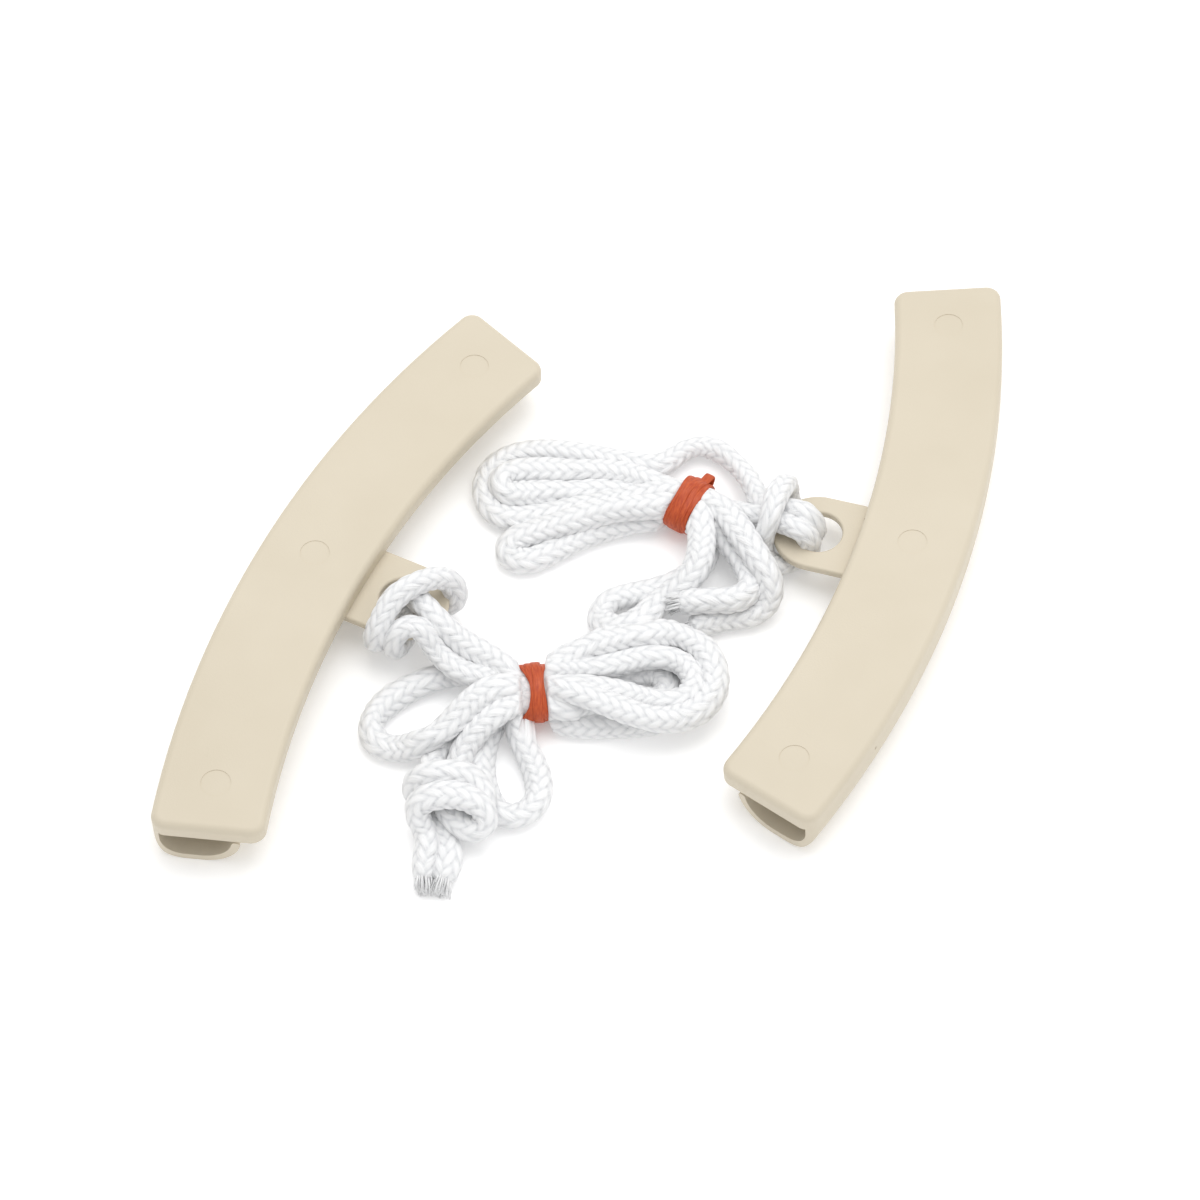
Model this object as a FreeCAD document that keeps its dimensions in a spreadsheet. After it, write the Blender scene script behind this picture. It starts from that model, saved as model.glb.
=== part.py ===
import FreeCAD, Part
import math
import os

import Sketcher
from FreeCAD import Placement, Rotation, Vector

# A pair of moulded wheel rim protectors for fitting tyres. Each is a curved plate with a curled
# channel under it that slips over the rim's edge, and a flat tab with an eyelet. A limp braided
# cord is hitched to each eyelet and bundled by a rubber band. Millimetres, +Z up, both laid on
# the plane z = 0, with the origin on that plane under the middle of the two mouldings.

doc = FreeCAD.newDocument("rim_protectors")

# ---------------------------------------------------------------- driving dimensions
DIMENSIONS = {
    "concave_radius": 253.2,  # plan radius of the plate's concave edge
    "plate_width": 30.0,
    "half_angle": 19.2,  # half of the plan arc, in degrees
    "total_height": 16.0,
    "plate_thickness": 5.0,
    "plate_corner": 4.0,  # plan radius of the plate's four corners
    "edge_round": 2.0,  # rounding along the plate's top edge
    "wall": 2.2,  # thickness of the curled wall
    "heel_radius": 8.5,  # outer radius of the curl under the convex edge
    "curl_flat": 4.1,  # flat along the bottom of the curl
    "lip_angle": 11.0,  # how far the lip stops short of the plate, in degrees of its arc
    "tab_width": 24.0,
    "tab_reach": 24.0,  # from the concave edge to the tab's tip
    "tab_thickness": 2.5,
    "tab_drop": 0.1,  # step from the plate's underside down to the tab's top
    "tab_root": 5.0,  # how far the tab runs in under the plate
    "tab_edge": 0.7,
    "eyelet_radius": 6.5,
    "eyelet_reach": 11.5,  # from the concave edge to the eyelet's centre
    "mark_radius": 4.0,  # round ejector marks on the plate's top
    "mark_depth": 0.15,
    "mark_angle": 16.2,
    "cord_diameter": 5.5,
    "band_width": 7.5,
    "band_thickness": 1.4,
    "bundle_half_width": 8.0,  # the cord bundle where the band grips it
    "bundle_half_height": 5.8,
}
sheet = doc.addObject("Spreadsheet::Sheet", "Dimensions")
for row, (alias, number) in enumerate(DIMENSIONS.items(), start=1):
    sheet.set(f"A{row}", alias)
    sheet.set(f"B{row}", str(number))
    sheet.setAlias(f"B{row}", alias)
doc.recompute()


def dim(alias):
    return float(sheet.get(alias))


def bind(thing, prop, formula):
    """Ties a property to the sheet; names in braces are the sheet's aliases."""
    thing.setExpression(prop, formula.replace("{", "Dimensions.").replace("}", ""))


mid_radius = dim("concave_radius") + dim("plate_width") / 2
half_angle = math.radians(dim("half_angle"))
underside = dim("total_height") - dim("plate_thickness")


# ---------------------------------------------------------------- sketch helpers
def origin_feature(body, role):
    return next(f for f in body.Origin.OriginFeatures if f.Role == role)


def new_sketch(body, name, role, height=None):
    sketch = body.newObject("Sketcher::SketchObject", name)
    sketch.AttachmentSupport = (origin_feature(body, role), [""])
    sketch.MapMode = "FlatFace"
    if height:
        bind(sketch, ".AttachmentOffset.Base.z", height)
    return sketch


def arc_edge(centre, radius, start, end):
    """An arc, anticlockwise from the angle start to the angle end, in radians."""
    return Part.ArcOfCircle(Part.Circle(centre, Vector(0, 0, 1), radius), start, end)


def polar(radius, angle):
    return Vector(radius * math.cos(angle), radius * math.sin(angle), 0)


def named(sketch, name, formula, *constraint):
    """Adds a driving dimension to a sketch and ties it to the sheet."""
    index = sketch.addConstraint(Sketcher.Constraint(*constraint))
    sketch.renameConstraint(index, name)
    bind(sketch, f"Constraints.{name}", formula)


def plan_outline(sketch):
    """The plate in plan: a ring sector with rounded corners, and a wide circle round it."""
    inner, outer = dim("concave_radius"), dim("concave_radius") + dim("plate_width")
    corner = dim("plate_corner")
    turn_out = math.asin(corner / (outer - corner))
    turn_in = math.asin(corner / (inner + corner))
    side = Vector(math.cos(half_angle), math.sin(half_angle), 0)
    near_out = (outer - corner) * math.cos(turn_out)
    near_in = (inner + corner) * math.cos(turn_in)
    out_centre = polar(outer - corner, half_angle - turn_out)
    in_centre = polar(inner + corner, half_angle - turn_in)

    def mirror(v):
        return Vector(v.x, -v.y, 0)

    quarter = math.pi / 2
    edges = [
        arc_edge(Vector(), outer, turn_out - half_angle, half_angle - turn_out),
        arc_edge(out_centre, corner, half_angle - turn_out, half_angle + quarter),
        Part.LineSegment(side * near_out, side * near_in),
        arc_edge(in_centre, corner, half_angle + quarter, half_angle - turn_in + math.pi),
        arc_edge(Vector(), inner, turn_in - half_angle, half_angle - turn_in),
        arc_edge(mirror(in_centre), corner, math.pi + turn_in - half_angle, 3 * quarter - half_angle),
        Part.LineSegment(mirror(side) * near_in, mirror(side) * near_out),
        arc_edge(mirror(out_centre), corner, -quarter - half_angle, turn_out - half_angle),
    ]
    sketch.addGeometry(edges, False)
    # each joint is (edge, end, next edge, end), where end 1 is a start point and 2 an end point
    joints = [
        (0, 2, 1, 1), (1, 2, 2, 1), (2, 2, 3, 1), (3, 2, 4, 2),
        (4, 1, 5, 1), (5, 2, 6, 1), (6, 2, 7, 1), (7, 2, 0, 1),
    ]  # fmt: skip
    for a, a_end, b, b_end in joints:
        sketch.addConstraint(Sketcher.Constraint("Tangent", a, a_end, b, b_end))
    sketch.addConstraint(Sketcher.Constraint("Coincident", 0, 3, -1, 1))
    sketch.addConstraint(Sketcher.Constraint("Coincident", 4, 3, -1, 1))
    sketch.addConstraint(Sketcher.Constraint("PointOnObject", -1, 1, 2))
    sketch.addConstraint(Sketcher.Constraint("PointOnObject", -1, 1, 6))
    for k in (3, 5, 7):
        sketch.addConstraint(Sketcher.Constraint("Equal", 1, k))
    named(sketch, "outer", "{concave_radius} + {plate_width}", "Radius", 0, outer)
    named(sketch, "inner", "{concave_radius}", "Radius", 4, inner)
    named(sketch, "corner", "{plate_corner}", "Radius", 1, corner)
    around = sketch.addGeometry(Part.Circle(Vector(mid_radius, 0, 0), Vector(0, 0, 1), mid_radius / 2))
    sketch.addConstraint(Sketcher.Constraint("PointOnObject", around, 3, -1))


def wall_section(sketch):
    """The section across the moulding: the plate, and the curled wall under its convex edge."""
    outer = dim("concave_radius") + dim("plate_width")
    wall, heel, top = dim("wall"), dim("heel_radius"), dim("total_height")
    sweep = underside  # outer radius of the curl's second arc, about a centre at underside level
    heel_centre = Vector(outer - heel, heel, 0)
    toe_centre = Vector(outer - heel - dim("curl_flat"), sweep, 0)
    lip = math.radians(dim("lip_angle"))
    lip_centre = toe_centre + polar(sweep - wall / 2, math.pi + lip)
    inner_edge = outer - dim("plate_width")

    def toe(radius, angle):
        return toe_centre + polar(radius, angle)

    floor, half = -math.pi / 2, math.pi
    down_inner = Vector(outer - wall, heel, 0)
    edges = [
        Part.LineSegment(Vector(inner_edge, underside, 0), Vector(inner_edge, top, 0)),
        Part.LineSegment(Vector(inner_edge, top, 0), Vector(outer, top, 0)),
        Part.LineSegment(Vector(outer, top, 0), Vector(outer, heel, 0)),
        arc_edge(heel_centre, heel, floor, 0),
        Part.LineSegment(heel_centre - Vector(0, heel, 0), toe(sweep, floor)),
        arc_edge(toe_centre, sweep, half + lip, half - floor),
        arc_edge(lip_centre, wall / 2, lip, half + lip),
        arc_edge(toe_centre, sweep - wall, half + lip, half - floor),
        Part.LineSegment(toe(sweep - wall, floor), heel_centre - Vector(0, heel - wall, 0)),
        arc_edge(heel_centre, heel - wall, floor, 0),
        Part.LineSegment(down_inner, Vector(outer - wall, underside, 0)),
        Part.LineSegment(Vector(outer - wall, underside, 0), Vector(inner_edge, underside, 0)),
    ]
    sketch.addGeometry(edges, False)
    for k in (0, 2, 10):
        sketch.addConstraint(Sketcher.Constraint("Vertical", k))
    for k in (1, 4, 8, 11):
        sketch.addConstraint(Sketcher.Constraint("Horizontal", k))
    corners = [(0, 2, 1, 1), (1, 2, 2, 1), (10, 2, 11, 1), (11, 2, 0, 1)]
    for a, a_end, b, b_end in corners:
        sketch.addConstraint(Sketcher.Constraint("Coincident", a, a_end, b, b_end))
    smooth = [
        (2, 2, 3, 2), (3, 1, 4, 1), (4, 2, 5, 2), (5, 1, 6, 2),
        (6, 1, 7, 1), (7, 2, 8, 1), (8, 2, 9, 1), (9, 2, 10, 1),
    ]  # fmt: skip
    for a, a_end, b, b_end in smooth:
        sketch.addConstraint(Sketcher.Constraint("Tangent", a, a_end, b, b_end))
    sketch.addConstraint(Sketcher.Constraint("Coincident", 3, 3, 9, 3))
    sketch.addConstraint(Sketcher.Constraint("Coincident", 5, 3, 7, 3))
    named(sketch, "edge", "{concave_radius}", "DistanceX", -1, 1, 0, 1, inner_edge)
    named(sketch, "width", "{plate_width}", "DistanceX", 1, 1, 1, 2, dim("plate_width"))
    named(sketch, "thick", "{plate_thickness}", "DistanceY", 0, 1, 0, 2, dim("plate_thickness"))
    named(sketch, "height", "{total_height}", "DistanceY", -1, 1, 0, 2, top)
    named(sketch, "heel", "{heel_radius}", "Radius", 3, heel)
    named(sketch, "inside", "{heel_radius} - {wall}", "Radius", 9, heel - wall)
    named(sketch, "flat", "{curl_flat}", "DistanceX", 4, 2, 4, 1, dim("curl_flat"))
    sketch.addConstraint(Sketcher.Constraint("PointOnObject", 4, 1, -1))


def tab_outline(sketch):
    """The tab in plan: straight sides from under the plate to a half-round tip."""
    half = dim("tab_width") / 2
    root = dim("concave_radius") + dim("tab_root")
    tip = dim("concave_radius") - dim("tab_reach") + half
    sketch.addGeometry(
        [
            Part.LineSegment(Vector(root, -half, 0), Vector(root, half, 0)),
            Part.LineSegment(Vector(root, half, 0), Vector(tip, half, 0)),
            arc_edge(Vector(tip, 0, 0), half, math.pi / 2, 3 * math.pi / 2),
            Part.LineSegment(Vector(tip, -half, 0), Vector(root, -half, 0)),
        ],
        False,
    )
    sketch.addConstraint(Sketcher.Constraint("Coincident", 0, 2, 1, 1))
    sketch.addConstraint(Sketcher.Constraint("Coincident", 3, 2, 0, 1))
    sketch.addConstraint(Sketcher.Constraint("Tangent", 1, 2, 2, 1))
    sketch.addConstraint(Sketcher.Constraint("Tangent", 2, 2, 3, 1))
    sketch.addConstraint(Sketcher.Constraint("Vertical", 0))
    sketch.addConstraint(Sketcher.Constraint("Horizontal", 1))
    sketch.addConstraint(Sketcher.Constraint("PointOnObject", 2, 3, -1))
    named(sketch, "root", "{concave_radius} + {tab_root}", "DistanceX", -1, 1, 0, 1, root)
    named(sketch, "tip", "{tab_width} / 2", "Radius", 2, half)
    formula = "{concave_radius} - {tab_reach} + {tab_width} / 2"
    named(sketch, "reach", formula, "DistanceX", -1, 1, 2, 3, tip)


def root_outline(sketch):
    """The thicker root of the tab, hidden under the plate's overhang."""
    half = dim("tab_width") / 2
    near = dim("concave_radius") + 1
    far = dim("concave_radius") + dim("tab_root")
    points = [(near, -half), (far, -half), (far, half), (near, half)]
    for k, (x, y) in enumerate(points):
        after = points[(k + 1) % 4]
        sketch.addGeometry(Part.LineSegment(Vector(x, y, 0), Vector(*after, 0)), False)
    for k in range(4):
        sketch.addConstraint(Sketcher.Constraint("Coincident", k, 2, (k + 1) % 4, 1))
    for k, way in enumerate(("Horizontal", "Vertical", "Horizontal")):
        sketch.addConstraint(Sketcher.Constraint(way, k))
    sketch.addConstraint(Sketcher.Constraint("Symmetric", 0, 1, 2, 2, -1))
    named(sketch, "far", "{concave_radius} + {tab_root}", "DistanceX", -1, 1, 0, 2, far)
    named(sketch, "near", "{concave_radius} + 1", "DistanceX", -1, 1, 0, 1, near)
    named(sketch, "width", "{tab_width}", "DistanceY", 1, 1, 1, 2, 2 * half)


def round_hole(sketch, along, across, radius, along_formula, radius_formula):
    """A circle on the sketch's x axis, or off it by across."""
    sketch.addGeometry(Part.Circle(Vector(along, across, 0), Vector(0, 0, 1), radius), False)
    named(sketch, "radius", radius_formula, "Radius", 0, radius)
    if along_formula:
        sketch.addConstraint(Sketcher.Constraint("PointOnObject", 0, 3, -1))
        named(sketch, "along", along_formula, "DistanceX", -1, 1, 0, 3, along)


def edges_where(shape, test):
    return [f"Edge{k}" for k, edge in enumerate(shape.Edges, start=1) if test(edge.BoundBox)]


def must_change(before, after, less, what):
    if (after < before) != less or abs(after - before) < 1e-3:
        raise RuntimeError(f"{what} changed the volume from {before:.1f} to {after:.1f}")


# ---------------------------------------------------------------- the two mouldings
def protector(label, spot):
    body = doc.addObject("PartDesign::Body", label)
    body.Label = label

    section = new_sketch(body, f"{label}_section", "XZ_Plane")
    wall_section(section)
    sweep = body.newObject("PartDesign::Revolution", f"{label}_sweep")
    sweep.Profile = section
    sweep.ReferenceAxis = (origin_feature(body, "Z_Axis"), [""])
    sweep.Midplane = True
    bind(sweep, "Angle", "2 * {half_angle}")
    doc.recompute()

    plan = new_sketch(body, f"{label}_plan", "XY_Plane")
    plan_outline(plan)
    trim = body.newObject("PartDesign::Pocket", f"{label}_trim")
    trim.Profile = plan
    trim.Type = "ThroughAll"
    trim.Reversed = True
    doc.recompute()
    must_change(sweep.Shape.Volume, trim.Shape.Volume, True, "the corner trim")

    top = dim("total_height")
    soft = body.newObject("PartDesign::Fillet", f"{label}_soft_top")
    soft.Base = (trim, edges_where(trim.Shape, lambda b: b.ZMin > top - 0.01))
    bind(soft, "Radius", "{edge_round}")
    doc.recompute()

    tab_top = "{total_height} - {plate_thickness} - {tab_drop}"
    root = new_sketch(body, f"{label}_root_plan", "XY_Plane", f"{tab_top} - {{tab_thickness}}")
    root_outline(root)
    block = body.newObject("PartDesign::Pad", f"{label}_tab_root")
    block.Profile = root
    bind(block, "Length", "{tab_thickness} + {tab_drop} + 0.3")
    flat = new_sketch(body, f"{label}_tab_plan", "XY_Plane", f"{tab_top} - {{tab_thickness}}")
    tab_outline(flat)
    tab = body.newObject("PartDesign::Pad", f"{label}_tab")
    tab.Profile = flat
    bind(tab, "Length", "{tab_thickness}")
    doc.recompute()
    must_change(soft.Shape.Volume, tab.Shape.Volume, False, "the tab")

    ring = new_sketch(body, f"{label}_eyelet_plan", "XY_Plane")
    centre = dim("concave_radius") - dim("eyelet_reach")
    formula = "{concave_radius} - {eyelet_reach}"
    round_hole(ring, centre, 0, dim("eyelet_radius"), formula, "{eyelet_radius}")
    eyelet = body.newObject("PartDesign::Pocket", f"{label}_eyelet")
    eyelet.Profile = ring
    eyelet.Type = "ThroughAll"
    eyelet.Reversed = True
    doc.recompute()
    must_change(tab.Shape.Volume, eyelet.Shape.Volume, True, "the eyelet")

    # soft edges round the tab's outline and round the eyelet, above and below
    reach, low = dim("concave_radius"), underside - dim("tab_drop") - dim("tab_thickness")
    high = low + dim("tab_thickness")

    def on_tab(box):
        level = abs(box.ZMin - box.ZMax) < 1e-3
        face = abs(box.ZMin - low) < 0.01 or abs(box.ZMin - high) < 0.01
        return level and face and box.XMin < reach - 1 and box.XMax < reach + 6

    trimmed = body.newObject("PartDesign::Fillet", f"{label}_tab_edges")
    trimmed.Base = (eyelet, edges_where(eyelet.Shape, on_tab))
    bind(trimmed, "Radius", "{tab_edge}")
    doc.recompute()

    mark_plan = new_sketch(body, f"{label}_mark_plan", "XY_Plane", "{total_height}")
    start = polar(mid_radius, -math.radians(dim("mark_angle")))
    round_hole(mark_plan, start.x, start.y, dim("mark_radius"), None, "{mark_radius}")
    mark = body.newObject("PartDesign::Pocket", f"{label}_mark")
    mark.Profile = mark_plan
    bind(mark, "Length", "{mark_depth}")
    doc.recompute()
    must_change(trimmed.Shape.Volume, mark.Shape.Volume, True, "the ejector mark")
    marks = body.newObject("PartDesign::PolarPattern", f"{label}_marks")
    marks.Originals = [mark]
    marks.Axis = (origin_feature(body, "Z_Axis"), [""])
    marks.Occurrences = 3
    bind(marks, "Angle", "2 * {mark_angle}")
    body.Tip = marks
    doc.recompute()
    must_change(mark.Shape.Volume, marks.Shape.Volume, True, "the other ejector marks")
    body.Placement = spot
    return body


def laid(x, y, heading, lean):
    """Lays a moulding on the floor: its mid-arc at x, y, turned by heading and leaning by lean
    degrees towards its tab, so that it rests on the two ends of its curl."""
    foot = mid_radius + 3
    toe = dim("concave_radius") + dim("plate_width") - dim("heel_radius") - dim("curl_flat")
    down, level = math.sin(math.radians(lean)), math.cos(math.radians(lean))
    end = math.cos(half_angle)
    lift = down * (foot - toe * end) + underside * (math.hypot(level, down * end) - level)
    to_origin = Placement(Vector(-foot, 0, 0), Rotation())
    tilt = Placement(Vector(3, 0, 0), Rotation(Vector(0, 1, 0), -lean))
    turn = Placement(Vector(x, y, lift), Rotation(Vector(0, 0, 1), heading))
    return turn.multiply(tilt).multiply(to_origin)


LEFT_SPOT = laid(-75.84, -2.07, 154.5, 0)
RIGHT_SPOT = laid(86.56, 0.48, -18.5, 4.5)
protectors = [protector("rim_protector_left", LEFT_SPOT), protector("rim_protector_right", RIGHT_SPOT)]


# ---------------------------------------------------------------- the cords' free stretches
# Points of each stretch's route, in order from the eyelet. A stretch is straight runs joined
# by arcs that touch both runs.
ROUTES = {
    # up over the tab as the hitch's bar, round its tip, up through the eyelet and to the band
    "cord_left_hitch": [
        (-52, -12.5, 5), (-56.4, -18.3, 4.2), (-59.2, -25, 5.2), (-60, -27.5, 10),
        (-58.1, -25.4, 15.5), (-54, -19, 19.5), (-47.5, -14.5, 21), (-40.5, -11, 18.5),
        (-34, -9.5, 13), (-34.5, -11, 7), (-40.4, -10.9, 2.9), (-47.7, -8.1, 3),
        (-51.2, -10.6, 10.2), (-49.4, -13.7, 14.9), (-42.5, -22.4, 14.3), (-35.5, -27.6, 9.7),
        (-27.5, -32.5, 7.5), (-20.5, -36.5, 8.5),
    ],
    # round the tab's near edge, under the bar and to the band
    "cord_left_lead": [
        (-50, -13, 4.5), (-51.3, -19.4, 3.6), (-53.6, -26.4, 4.3), (-55, -28.9, 8.8),
        (-53.9, -27.3, 13.8), (-50.1, -26, 15.9), (-45.7, -26.6, 15.1), (-41.7, -30.3, 9.4),
        (-35.1, -36.6, 8.1), (-27.1, -38.2, 5.9), (-20.5, -38.5, 3.5),
    ],
    # the folds that stand out past the band, to the side and towards the moulding's end
    "cord_left_side_loop": [
        (-20.5, -43.5, 8.5), (-25.8, -42.9, 9.8), (-31.4, -45.5, 9.2), (-37.6, -51.5, 8.4),
        (-44.2, -55.9, 7.2), (-52, -56.5, 3.1), (-58.5, -54.5, 3), (-60.5, -48, 3),
        (-55.5, -41, 3), (-47.5, -35.5, 3), (-38.5, -32.9, 3.4), (-28.5, -34.4, 3.4),
        (-20.5, -36.5, 3),
    ],
    "cord_left_end_loop": [
        (-20.5, -41.5, 3), (-24.2, -45.9, 2.9), (-27.7, -51.6, 2.9), (-30.3, -60.1, 2.9),
        (-29.1, -70.2, 3.2), (-25.1, -76.4, 2.9), (-18.9, -76.8, 2.9), (-14.4, -71.8, 3.3),
        (-15.5, -63, 3), (-19.5, -55, 4.5), (-22, -49.6, 6.5), (-20.5, -45.5, 8.5),
    ],
    # from the band to the knot that joins the two ends
    "cord_left_tail_a": [
        (-20.5, -42.5, 6), (-26.6, -42.7, 4.5), (-32.8, -46.3, 3.9), (-38.3, -52.6, 2.9),
        (-42.9, -59, 2.9), (-44, -66, 3),
    ],
    "cord_left_tail_b": [
        (-20.5, -44.5, 8), (-25.4, -47.7, 8.3), (-30.5, -52, 7.5), (-35.1, -57.7, 5.7),
        (-37, -65, 5),
    ],
    # the two cut ends past the knot
    "cord_left_end_a": [(-42.5, -80, 3.5), (-43, -85, 3), (-44, -90, 3), (-44.5, -95, 3)],
    "cord_left_end_b": [
        (-38, -80, 3.5), (-37.9, -85.3, 2.9), (-38.5, -90.7, 3.2), (-39.5, -95.5, 3),
    ],
    # under the tab's tip, up and over as the hitch's bar, back up through the eyelet, to the band
    "cord_right_hitch": [
        (57.5, 15, 3.5), (54.3, 19.7, 3), (52.5, 24.9, 4.9), (51.9, 26.3, 10.2), (50.5, 22, 15.2),
        (47.9, 15.1, 18.1), (45.9, 8.3, 16.4), (43.9, 6.8, 7.2), (45.1, 2.9, 4.3),
        (49.7, 1.2, 2.9), (57.6, 5.7, 2.9), (61.1, 6, 7.2), (59.7, 6.1, 12.5), (54.3, 7.1, 14.5),
        (48.2, 12, 11.6), (41.6, 14.8, 8.5), (36, 17.7, 5.2), (30.5, 19.5, 4),
    ],
    # up through the eyelet, under the bar and round in an arch to the hank's far side
    "cord_right_lead": [
        (55, 15, 3.5), (59.9, 12, 4.1), (62.3, 10.8, 9.2), (60.4, 11.7, 14), (55.5, 13.1, 15.2),
        (49, 17, 11.4), (44, 21, 7.1), (43, 26.5, 6), (40, 34.5, 4), (35, 41, 3), (29.5, 45, 3),
        (23.5, 44.5, 3), (19.5, 40, 3), (17.5, 34.5, 3.5),
    ],
    # a fold that hangs out past the band, back under the two cut ends
    "cord_right_loop": [
        (29, 16.5, 3.5), (29.5, 10, 3), (29, 3.5, 3.1), (24.9, -1.7, 2.9), (18.3, -4.7, 2.9),
        (9.9, -6.9, 2.9), (2.8, -8.9, 2.9), (0.7, -15.3, 3.5), (4.7, -20.4, 5.8),
        (11.2, -19.5, 7.6), (17.6, -10.4, 4.3), (22.4, -7, 6.8), (27.5, -2.5, 8.5), (29.5, 5, 9),
        (28.5, 11.5, 9),
    ],
    # the two cut ends
    "cord_right_end_a": [
        (30.5, 20, 9.5), (35, 15.9, 10.3), (39, 7.6, 11.5), (43.9, -1.1, 11.6), (47.3, -6.8, 8.7),
        (46.4, -11.1, 4.5), (41.8, -14.1, 2.9), (33.4, -14.5, 3.5), (26, -18, 3),
    ],
    "cord_right_end_b": [
        (30, 16, 6.5), (34.5, 11, 6.4), (38.5, 5, 6.4), (41.4, -2.6, 6.8), (41.9, -9.3, 8.1),
        (37.6, -13.3, 9.3), (30, -12.6, 8.6), (22.5, -12.5, 7.5),
    ],
}


def smooth_route(name, corners):
    """Straight runs joined by arcs, each as large as its two runs allow. Prints the radii."""
    spots = [Vector(*corner) for corner in corners]
    edges, radii = [], []
    here = spots[0]
    for before, corner, after in zip(spots, spots[1:], spots[2:]):
        back, on = before - corner, after - corner
        reach = 0.45 * min(back.Length, on.Length)
        back.normalize()
        on.normalize()
        half_turn = (math.pi - back.getAngle(on)) / 2
        radius = reach / math.tan(half_turn)
        radii.append(radius)
        first, last = corner + back * reach, corner + on * reach
        inward = (back + on).normalize()
        deep = corner + inward * (radius / math.cos(half_turn) - radius)
        edges.append(Part.LineSegment(here, first).toShape())
        edges.append(Part.Arc(first, deep, last).toShape())
        here = last
    edges.append(Part.LineSegment(here, spots[-1]).toShape())
    path = Part.Wire(edges)
    print(f"{name}: {path.Length:.0f} mm, radii " + " ".join(f"{r:.1f}" for r in radii))
    if min(radii) < 1.05 * dim("cord_diameter") / 2:
        raise RuntimeError(f"{name} bends too tightly for its own thickness")
    return path


def cord_tube(name, corners):
    """A round tube of the cord's diameter along a route."""
    path = doc.addObject("Part::Feature", f"{name}_route")
    path.Shape = smooth_route(name, corners)
    ring = doc.addObject("Part::Circle", f"{name}_ring")
    bind(ring, "Radius", "{cord_diameter} / 2")
    start = Vector(*corners[0])
    ring.Placement = Placement(start, Rotation(Vector(0, 0, 1), Vector(*corners[1]) - start))
    tube = doc.addObject("Part::Sweep", name)
    tube.Label = name
    tube.Sections = [ring]
    tube.Spine = (path, [f"Edge{k}" for k in range(1, len(path.Shape.Edges) + 1)])
    tube.Solid = True
    tube.Frenet = False
    doc.recompute()
    expected = math.pi * (dim("cord_diameter") / 2) ** 2 * path.Shape.Length
    if abs(tube.Shape.Volume - expected) > 0.01 * expected:
        raise RuntimeError(f"{name} has {tube.Shape.Volume:.0f} mm3, not {expected:.0f} mm3")
    return tube


tubes = [cord_tube(name, corners) for name, corners in ROUTES.items()]


# ---------------------------------------------------------------- hanks, bands and the end knot
def upright_ellipse(name, x, y, z, heading):
    """An ellipse in an upright plane that faces along heading, in degrees from +X."""
    ring = doc.addObject("Part::Ellipse", name)
    stand = Rotation(Vector(0, 0, 1), heading + 90).multiply(Rotation(Vector(1, 0, 0), 90))
    ring.Placement = Placement(Vector(x, y, z), stand)
    return ring


GRIP_HEIGHT = "{bundle_half_height} + {band_thickness} + 0.1"  # the bundle's middle in the band


def hank(name, grip, fan):
    """A bundle of folded turns as one closed solid. grip holds the two (x, y, heading) places
    that the band's faces meet; fan holds (x, y, heading, half width, half height) from there
    to the folds."""
    sections = []
    for x, y, heading in grip:
        ring = upright_ellipse(f"{name}_section{len(sections)}", x, y, 0, heading)
        bind(ring, "MajorRadius", "{bundle_half_width}")
        bind(ring, "MinorRadius", "{bundle_half_height}")
        bind(ring, ".Placement.Base.z", GRIP_HEIGHT)
        sections.append(ring)
    for x, y, heading, half_width, half_height in fan:
        ring = upright_ellipse(f"{name}_section{len(sections)}", x, y, half_height + 0.1, heading)
        ring.MajorRadius = half_width
        ring.MinorRadius = half_height
        sections.append(ring)
    solid = doc.addObject("Part::Loft", name)
    solid.Label = name
    solid.Sections = sections
    solid.Solid = True
    solid.Ruled = False
    return solid


def rubber_band(name, x, y, heading):
    """A flat rubber ring wound round the bundle, at right angles to heading."""
    prisms = []
    for part, extra in (("outer", " + {band_thickness}"), ("inner", "")):
        ring = upright_ellipse(f"{name}_{part}_ring", x, y, 0, heading)
        bind(ring, "MajorRadius", "{bundle_half_width}" + extra)
        bind(ring, "MinorRadius", "{bundle_half_height}" + extra)
        bind(ring, ".Placement.Base.z", GRIP_HEIGHT)
        prism = doc.addObject("Part::Extrusion", f"{name}_{part}")
        prism.Base = ring
        prism.DirMode = "Normal"
        prism.Solid = True
        prism.Symmetric = True
        bind(prism, "LengthFwd", "{band_width}")
        prisms.append(prism)
    band = doc.addObject("Part::Cut", name)
    band.Label = name
    band.Base, band.Tool = prisms
    return band


bundles = [
    hank(
        "cord_left_hank",
        [(-20.5, -41.2, 2), (-12.5, -40.4, 6)],
        [
            (1, -37.9, 10, 10.8, 6.0),
            (12, -36.2, 0, 14.0, 6.0),
            (23, -36.1, 0, 14.6, 6.0),
            (30, -36.6, 0, 12.0, 5.6),
            (34, -36.9, 0, 6.5, 4.6),
            (35, -37, 0, 2.0, 2.0),
        ],
    ),
    rubber_band("band_left", -16.6, -40.8, 4),
    hank(
        "cord_right_hank",
        [(29.5, 17.8, 149), (21.5, 22.4, 149)],
        [
            (7, 27.6, 170, 11.5, 5.2),
            (-7, 26.6, 186, 15.0, 4.2),
            (-18, 23.6, 192, 17.8, 3.6),
            (-26, 21.8, 190, 15.0, 3.4),
            (-30.5, 21.0, 188, 8.0, 3.0),
            (-32, 20.8, 188, 2.5, 1.8),
        ],
    ),
    rubber_band("band_right", 25.6, 20.1, 149),
]

knot = doc.addObject("Part::Ellipsoid", "cord_left_knot")
knot.Label = "cord_left_knot"
knot.Radius1, knot.Radius2, knot.Radius3 = 6, 10, 9  # along Z, X and Y
knot.Placement = Placement(Vector(-38.5, -73.5, 6.1), Rotation())
bundles.append(knot)
doc.recompute()

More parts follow.
